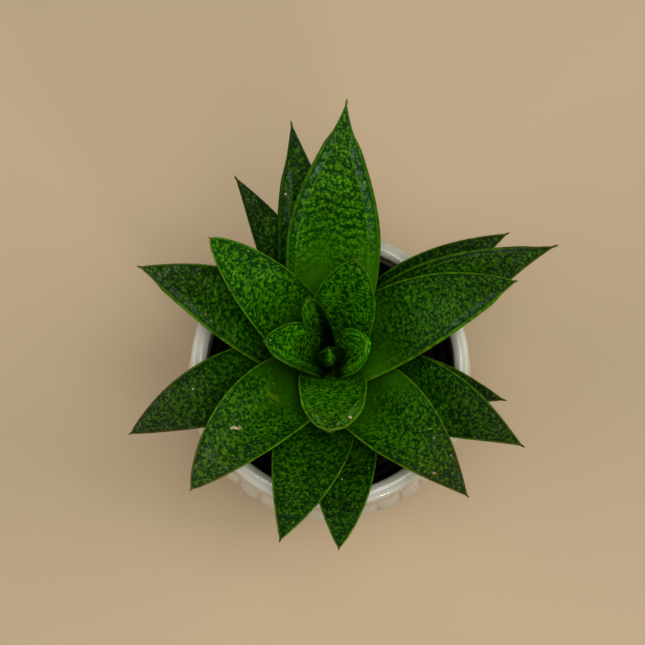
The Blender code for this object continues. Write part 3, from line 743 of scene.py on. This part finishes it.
def make_leaf(leaf, surface, salt):
    """One leaf as a fine mesh: upper face, rounded margins, keeled lower face and teeth."""
    skin = SKINS.get(leaf.name, OUTER_SKIN)
    t, blade_end = stations(blade_length(leaf))
    faces, marks = [], []
    for is_upper, step in ((True, MESH_STEP), (False, UNDER_STEP)):
        v = np.linspace(-1, 1, int(leaf.width / step))
        v *= 1 + EDGE_CROWD * (1 - np.abs(v))
        face = blade_face(leaf, t, v, blade_end, is_upper)
        face, face_marks = dress(leaf, face, t, v, blade_end, salt, is_upper)
        faces.append(face)
        marks.append(face_marks)
    upper, lower = faces
    bulge = np.minimum(EDGE_BULGE, 0.35 * half_width(leaf, t, blade_end))[:, None]
    right, right_line, right_out, right_flat = margin(upper[:, -1], lower[:, -1], upper[:, -3], bulge)
    left, left_line, left_out, left_flat = margin(upper[:, 0], lower[:, 0], upper[:, 2], bulge)
    loops = np.concatenate([upper, right, lower[:, ::-1], left[:, ::-1]], axis=1)
    rings, around = loops.shape[:2]
    points = [*loops.reshape(-1, 3), loops[0].mean(axis=0), loops[-1].mean(axis=0)]
    polygons = loft(rings, around)

    # Numbers for the colour: on the margins, on the two points that close the ends, and on the teeth
    start = 1 - smooth_step(t / blade_end, 0.2, 0.5)[:, None]
    looks = {
        "spot": (0.0, 0.0, 0.0),
        "smooth": (start, 1.0, 0.0),
        "rim": (skin.edged, 0.0, skin.edged),
        "scar": (0.0, 0.0, 0.0),
        # no painted sheen on the margins, ends or teeth
        "painted_sheen": (0.0, 0.0, 0.0),
    }
    edge = np.ones((rings, EDGE_STEPS))
    numbers = {"along": [*np.repeat(t, around), 0.0, 1.0]}
    for name, (on_margin, on_ends, _) in looks.items():
        row = [marks[0][name], on_margin * edge, marks[1][name][:, ::-1], on_margin * edge]
        numbers[name] = [*np.concatenate(row, axis=1).ravel(), on_ends, on_ends]
    # The tone, with its painted shade and light, runs over the margins, ends and teeth
    tones = marks[0]["tone"]
    right_tone, left_tone = tones[:, -1:], tones[:, :1]
    row = [tones, right_tone * edge, marks[1]["tone"][:, ::-1], left_tone * edge]
    numbers["tone"] = [*np.concatenate(row, axis=1).ravel(), tones[0].mean(), tones[-1].mean()]

    draw = np.random.default_rng(salt)
    sides = (
        (right_line, right_out, -right_flat, right_tone),
        (left_line, left_out, left_flat, left_tone),
    )
    for line, out, flat, side_tone in sides:
        more, more_faces, places = teeth(line, out, flat, t, draw)
        polygons += [tuple(k + len(points) for k in face) for face in more_faces]
        points += more
        numbers["along"] += places
        numbers["tone"] += [*np.interp(places, t, side_tone[:, 0])]
        for name, (*_, on_teeth) in looks.items():
            numbers[name] += [on_teeth] * len(more)
    # The greying at the tip, partly age and partly painted sheen
    numbers["old"] = skin.age_and_sheen * smooth_step(np.array(numbers["along"]), 0.45, 0.92)
    made = mesh_object("fine_" + leaf.name, points, polygons, surface, numbers)
    return stand_for(made, leaf.name)


def rounded(profile, times=3):
    """A profile with its corners cut off again and again, which makes them round."""
    line = np.array(profile, float)
    for _ in range(times):
        first, second = line[:-1], line[1:]
        cuts = np.stack([0.75 * first + 0.25 * second, 0.25 * first + 0.75 * second], axis=1)
        line = np.concatenate([line[:1], cuts.reshape(-1, line.shape[1]), line[-1:]])
    return line


def refined(profile, step):
    """The same line with points no further apart than step."""
    line = [profile[0]]
    for first, second in zip(profile, profile[1:]):
        pieces = max(1, math.ceil(np.linalg.norm(second[:2] - first[:2]) / step))
        line += [first + (second - first) * k / pieces for k in range(1, pieces + 1)]
    return np.array(line)


def turned(radii, heights, steps):
    """A grid of points round Z. radii may differ from step to step."""
    turn = np.linspace(0, 2 * math.pi, steps, endpoint=False)[None, :]
    radii = np.broadcast_to(radii, (len(heights), steps))
    z = np.broadcast_to(np.asarray(heights)[:, None], radii.shape)
    return np.stack([radii * np.cos(turn), radii * np.sin(turn), z], axis=-1), turn


def close(grid):
    """The points and faces of a closed body of rings."""
    rings, steps = grid.shape[:2]
    points = np.concatenate([grid.reshape(-1, 3), [grid[0].mean(axis=0)], [grid[-1].mean(axis=0)]])
    return points, loft(rings, steps)


def belly_radius(height):
    """The glazed pot's outer radius between its foot and its neck: two quarter waves."""
    if height < BELLY_HEIGHT:
        share = max(height - BELLY_START, 0.0) / (BELLY_HEIGHT - BELLY_START)
        start = FOOT_RADIUS + FOOT_STEP
    else:
        share = (NECK_HEIGHT - height) / (NECK_HEIGHT - BELLY_HEIGHT)
        start = NECK_RADIUS
    return start + (BELLY_RADIUS - start) * math.sin(math.pi / 2 * share)


def belly_ring(height):
    """One ring of the belly. The lobes fade out at both ends, and a brown band of painted shade lies
    under the collar.
    """
    lobed = float(smooth_step(min(height - BELLY_START, NECK_HEIGHT - height), 0.5, 11.0))
    # A brown band just under the collar: painted shade
    thin_glaze_and_shade = 0.36 + 0.30 * math.exp(-(((height - NECK_HEIGHT + 4.5) / 3.0) ** 2))
    return belly_radius(height), height, lobed, thin_glaze_and_shade, 0


def pot_profile():
    """The glazed pot's outline, from under its foot over the lip to the middle of its floor.

    Each ring has its radius, its height, its share of the lobes' depth, how brown the glaze is, partly
    where it breaks and partly as painted shade under the collar and inside the mouth, and how bare the
    clay is.
    """
    foot = [
        (FOOT_RADIUS - 6.0, 0.0, 0, 0, 1),
        (FOOT_RADIUS - 0.5, 0.0, 0, 0, 1),
        (FOOT_RADIUS, 0.8, 0, 0.3, 0.8),
        (FOOT_RADIUS - 0.2, 2.5, 0, 0.6, 0),
        (FOOT_RADIUS - 0.4, FOOT_HEIGHT, 0, 0.7, 0),
        (FOOT_RADIUS + FOOT_STEP, BELLY_START, 0, 0.6, 0),
    ]
    belly = [belly_ring(z) for z in np.linspace(BELLY_START + 1.5, NECK_HEIGHT - 1.5, BELLY_STEPS)]
    collar = [
        # Brown at the neck under the collar: painted shade, fading up the collar
        (NECK_RADIUS + 0.1, NECK_HEIGHT - 0.3, 0, 0.9, 0),
        (NECK_RADIUS + 0.5, NECK_HEIGHT + 0.9, 0, 0.7, 0),
        (RIM_RADIUS - 0.1, NECK_HEIGHT + 1.7, 0, 0.6, 0),
        (RIM_RADIUS, NECK_HEIGHT + 3.2, 0, 0.45, 0),
        (RIM_RADIUS, NECK_HEIGHT + 5.2, 0, 0.25, 0),
        (RIM_RADIUS - 0.1, NECK_HEIGHT + 6.6, 0, 0.1, 0),
        (RIM_RADIUS - 0.7, NECK_HEIGHT + 7.9, 0, 0, 0),
    ]
    lip = [
        (RIM_RADIUS - LIP_ROUND, POT_HEIGHT - 0.02, 0, 0, 0),
        (MOUTH_RADIUS + 0.8, POT_HEIGHT + 0.02, 0, 0, 0),
        # Inside the mouth the glaze turns brown: painted shade
        (MOUTH_RADIUS - 0.7, POT_HEIGHT - 0.8, 0, 0.3, 0),
        (MOUTH_RADIUS - 0.4, POT_HEIGHT - 3.0, 0, 1.0, 0),
        (LINER_RADIUS + 0.6, NECK_HEIGHT - 1.0, 0, 1.0, 0),
    ]
    levels = (54.0, BELLY_HEIGHT, 24.0, FLOOR_THICK + 4.0)
    inside = [(belly_radius(z) - POT_WALL, z, 0, 0.2, 0) for z in levels]
    inside += [(FOOT_RADIUS - POT_WALL, FLOOR_THICK, 0, 0.2, 0), (6.0, FLOOR_THICK, 0, 0.2, 0)]
    return refined(rounded(foot + belly + collar + lip + inside, 2), 1.1)


def make_ceramic_pot():
    """The glazed pot: lobed belly, neck groove, collar and rolled lip."""
    radius, height, lobed, thin_glaze_and_shade, bare = pot_profile().T
    height = np.minimum(height, POT_HEIGHT)
    turn = np.linspace(0, 2 * math.pi, POT_STEPS, endpoint=False)
    crest = np.sqrt(np.sin(turn * LOBES / 2) ** 2 + 0.003)
    groove = lobed[:, None] * np.clip(1 - crest, 0, 1)
    uneven = 0.10 * np.sin(3 * turn + 0.7) + 0.06 * np.sin(7 * turn + 2.0)
    radii = radius[:, None] - LOBE_DEPTH * groove * (1.1 + uneven) - 0.04 * np.abs(uneven)
    points, faces = close(turned(radii, height, POT_STEPS)[0])
    marks = {}
    for name, values in (("thin_glaze_and_shade", np.maximum(thin_glaze_and_shade[:, None], 0.7 * groove)), ("bare", bare[:, None])):
        values = np.broadcast_to(values, radii.shape)
        marks[name] = [*values.ravel(), values[0, 0], values[-1, 0]]
    made = mesh_object("fine_ceramic_pot", points, faces, glaze_material(), marks)
    return stand_for(made, "ceramic_pot")


def make_nursery_pot():
    """The black plastic pot's rolled rim and wall."""
    skirt = LINER_TOP - LINER_SKIRT
    bore = LINER_RADIUS - LINER_RIM
    foot = FLOOR_THICK + GAP
    line = [
        (6.0, foot),
        (LINER_FOOT - 0.6, foot),
        (LINER_FOOT, foot + 0.6),
        (bore + 0.6, skirt - 0.4),
        (LINER_RADIUS - 0.2, skirt),
        (LINER_RADIUS, skirt + 0.6),
        (LINER_RADIUS, LINER_TOP - 0.7),
        (LINER_RADIUS - 0.4, LINER_TOP),
        (bore + 0.5, LINER_TOP),
        (bore, LINER_TOP - 0.6),
        (bore - 0.4, skirt - 0.4),
        (LINER_FOOT - LINER_WALL, foot + LINER_FLOOR),
        (6.0, foot + LINER_FLOOR),
    ]
    line = refined(rounded(line, 2), 2.5)
    grid, turn = turned(line[:, :1], line[:, 1], LINER_STEPS)
    grid[..., 2] += 0.12 * np.sin(2 * turn + 0.4) * (line[:, 1:2] > skirt - 0.5)
    points, faces = close(grid)
    made = mesh_object("fine_nursery_pot", points, faces, plastic_material())
    return stand_for(made, "nursery_pot")


def soil_height(x, y):
    """The lumpy top of the soil."""
    reach = np.hypot(x, y)
    lumps = 1.3 * spots(x, y, 3.1, 2.7, 41) + 0.55 * spots(x + 0.7, y, 1.2, 1.1, 43)
    swell = 0.5 * np.sin(x / 6.0 + 1.0) * np.sin(y / 7.0)
    return SOIL_TOP + SOIL_MOUND * (1 - reach / LINER_RADIUS) + lumps + swell - 0.9


def make_soil():
    """The block of soil with its lumpy top."""
    side = LINER_RADIUS - LINER_RIM - LINER_WALL
    bottom = FLOOR_THICK + GAP + LINER_FLOOR + GAP
    foot = LINER_FOOT - LINER_WALL - 0.6
    wall = [(4.0, bottom), (foot, bottom), (side - 0.6, 45.0), (side, 60.0)]
    top = [(reach, SOIL_TOP) for reach in np.arange(side - 0.2, 0.6, -0.32)]
    line = np.array(wall + top)
    grid, _ = turned(line[:, :1], line[:, 1], SOIL_STEPS)
    upper = grid[len(wall):]
    upper[..., 2] = soil_height(upper[..., 0], upper[..., 1])
    points, faces = close(grid)
    peat = soil_material("soil", (0.012, 0.008, 0.006), (0.050, 0.034, 0.022))
    made = mesh_object("fine_soil", points, faces, peat)
    stand_for(made, "soil")
    strew_crumbs(side)


def strew_crumbs(side):
    """Loose crumbs of bark and a few grains of perlite on the soil."""
    draw = np.random.default_rng(5)
    bark, grains = [], []
    for k in range(CRUMBS):
        turn, reach = draw.uniform(0, 2 * math.pi), side * math.sqrt(draw.uniform(0.03, 0.93))
        x, y = reach * math.cos(turn), reach * math.sin(turn)
        size = draw.uniform(0.5, 1.5) ** 1.5
        scale = size * np.array([1.0, draw.uniform(0.5, 0.9), draw.uniform(0.3, 0.6)])
        place = np.array([x, y, float(soil_height(np.array(x), np.array(y))) + 0.15 * size])
        crumb = (place, scale, draw.uniform(0, 2 * math.pi), draw.uniform(-0.6, 0.6), 0.0)
        (bark if k % GRAIN_EVERY else grains).append(crumb)
    bark_look = soil_material("bark", (0.030, 0.017, 0.010), (0.085, 0.050, 0.028))
    pieces = (("bark_crumbs", bark, bark_look), ("perlite_grains", grains, grit_material()))
    for name, lumps, look in pieces:
        made = scatter(name, lumps, look, draw)
        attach(made, "root")


def scatter(name, lumps, surface, draw):
    """Uneven lumps in one mesh. Each has a place, three sizes, a turn, a tilt and how brown it is."""
    ball = bmesh.new()
    bmesh.ops.create_icosphere(ball, subdivisions=2, radius=1.0)
    shape = np.array([vertex.co for vertex in ball.verts])
    corners = np.array([[vertex.index for vertex in face.verts] for face in ball.faces])
    ball.free()
    points, faces, browns = [], [], []
    for place, scale, turn, tilt, brown in lumps:
        rough = shape * (1 + 0.22 * draw.standard_normal((len(shape), 1)))
        turned_by = np.array(Matrix.Rotation(turn, 3, "Z") @ Matrix.Rotation(tilt, 3, "X"))
        faces += (corners + len(points)).tolist()
        points += ((rough * scale) @ turned_by.T + place).tolist()
        browns += [brown] * len(shape)
    return mesh_object(name, points, faces, surface, {"brown": browns})


def make_stem():
    """The short stem, ringed by old leaf scars."""
    line = [
        (1.0, STEM_FOOT),
        (STEM_RADIUS - 0.1, STEM_FOOT),
        (STEM_RADIUS - 0.1, STEM_SHOULDER),
        (1.3, STEM_TOP - 0.4),
        (0.4, STEM_TOP),
    ]
    line = refined(np.array(line), 0.5)
    grid, turn = turned(line[:, :1], line[:, 1], STEM_STEPS)
    ring = 0.10 * np.sin(grid[..., 2] * 3.0 + 2 * np.sin(2 * turn))
    grid[..., :2] *= 1 + (ring - 0.10)[..., None] / STEM_RADIUS
    points, faces = close(grid)
    made = mesh_object("fine_stem", points, faces, stem_material())
    return stand_for(made, "stem")


def camera_axes():
    """Where the camera is, and its ways right, up and ahead."""
    lift = math.radians(CAMERA_ELEVATION)
    back = np.array([0.0, -math.cos(lift), math.sin(lift)])
    up = np.array([0.0, math.sin(lift), math.cos(lift)])
    return np.array(CAMERA_AIM) + CAMERA_DISTANCE * back, np.array([1.0, 0.0, 0.0]), up, -back


def seen_at(across, down):
    """The point of the object, and its outward way, that a pixel of the photo shows."""
    eye, right, up, ahead = camera_axes()
    middle = IMAGE_PIXELS / 2
    way = ahead + (across - middle) / FOCAL_PIXELS * right - (down - middle) / FOCAL_PIXELS * up
    view_layer = bpy.context.evaluated_depsgraph_get()
    _, place, normal, *_ = bpy.context.scene.ray_cast(view_layer, Vector(eye * MM), Vector(way))
    return np.array(place) / MM, np.array(normal)


def make_grit():
    """The specks, each resting on the leaf that its pixel shows."""
    draw = np.random.default_rng(11)
    lumps = []
    for speck in SPECKS:
        place, normal = seen_at(speck.across, speck.down)
        scale = speck.size * np.array([speck.long, draw.uniform(0.7, 0.9), draw.uniform(0.5, 0.7)])
        turn = draw.uniform(0, 6.28) if speck.long == 1 else -0.2
        lumps.append((place + normal * 0.15 * speck.size, scale, turn, 0.0, speck.brown))
    made = scatter("leaf_grit", lumps, grit_material(), draw)
    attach(made, "root")


def make_floor():
    """A plain pale floor."""
    mesh = bpy.data.meshes.new("floor")
    corners = [(x * FLOOR_REACH, y * FLOOR_REACH, 0) for x, y in ((-1, -1), (1, -1), (1, 1), (-1, 1))]
    mesh.from_pydata(corners, [], [(0, 1, 2, 3)])
    s = Shader("floor")
    s.set(base_color=(0.51, 0.405, 0.275), roughness=0.75, specular_ior_level=0.2)
    mesh.materials.append(s.material)
    floor = bpy.data.objects.new("floor", mesh)
    bpy.context.scene.collection.objects.link(floor)


def make_light(name, place, aim, size, power, colour):
    """A soft box at a place in metres, turned to an aim."""
    data = bpy.data.lights.new(name, "AREA")
    data.shape = "RECTANGLE"
    data.size, data.size_y = size
    data.energy = power
    data.color = colour
    made = bpy.data.objects.new(name, data)
    made.location = place
    made.rotation_euler = (Vector(aim) - Vector(place)).to_track_quat("-Z", "Y").to_euler()
    bpy.context.scene.collection.objects.link(made)


def make_studio():
    """Soft light from all sides, a small window, and the floor."""
    world = bpy.data.worlds.new("studio")
    world.use_nodes = True
    background = world.node_tree.nodes["Background"]
    background.inputs["Color"].default_value = (0.92, 0.95, 1.0, 1.0)
    background.inputs["Strength"].default_value = 0.25
    bpy.context.scene.world = world
    make_light("window", (0.50, -1.10, 0.35), (0, 0, 0.07), (0.15, 0.08), 2.2, (1.0, 0.99, 0.97))
    make_light("left", (-1.10, -0.10, 0.60), (0, 0, 0.03), (1.0, 0.5), 4.0, (1.0, 0.99, 0.97))
    make_light("right", (1.10, 0.15, 0.60), (0, 0, 0.03), (1.0, 0.5), 4.0, (1.0, 0.99, 0.97))
    make_light("ceiling", (0.12, -0.05, 1.15), (0, 0, 0.08), (0.6, 0.6), 4.8, (0.97, 0.98, 1.0))
    make_floor()


def make_camera():
    """The photo's camera."""
    eye, _, _, ahead = camera_axes()
    data = bpy.data.cameras.new("camera")
    data.sensor_width = SENSOR_MM
    data.lens = SENSOR_MM * FOCAL_PIXELS / IMAGE_PIXELS
    data.clip_start, data.clip_end = 0.01, 20.0
    made = bpy.data.objects.new("camera", data)
    made.location = Vector(eye * MM)
    made.rotation_euler = Vector(ahead).to_track_quat("-Z", "Y").to_euler()
    bpy.context.scene.collection.objects.link(made)
    bpy.context.scene.camera = made


def make_plant():
    """The leaves, each with random numbers of its own."""
    surface = leaf_material()
    for number, leaf in enumerate(LEAVES):
        make_leaf(leaf, surface, 3 + 10 * number)


bpy.context.scene.view_settings.view_transform = "Standard"
bpy.context.scene.view_settings.look = "High Contrast"
make_studio()
make_camera()
make_plant()
make_ceramic_pot()
make_nursery_pot()
make_soil()
make_stem()
make_grit()
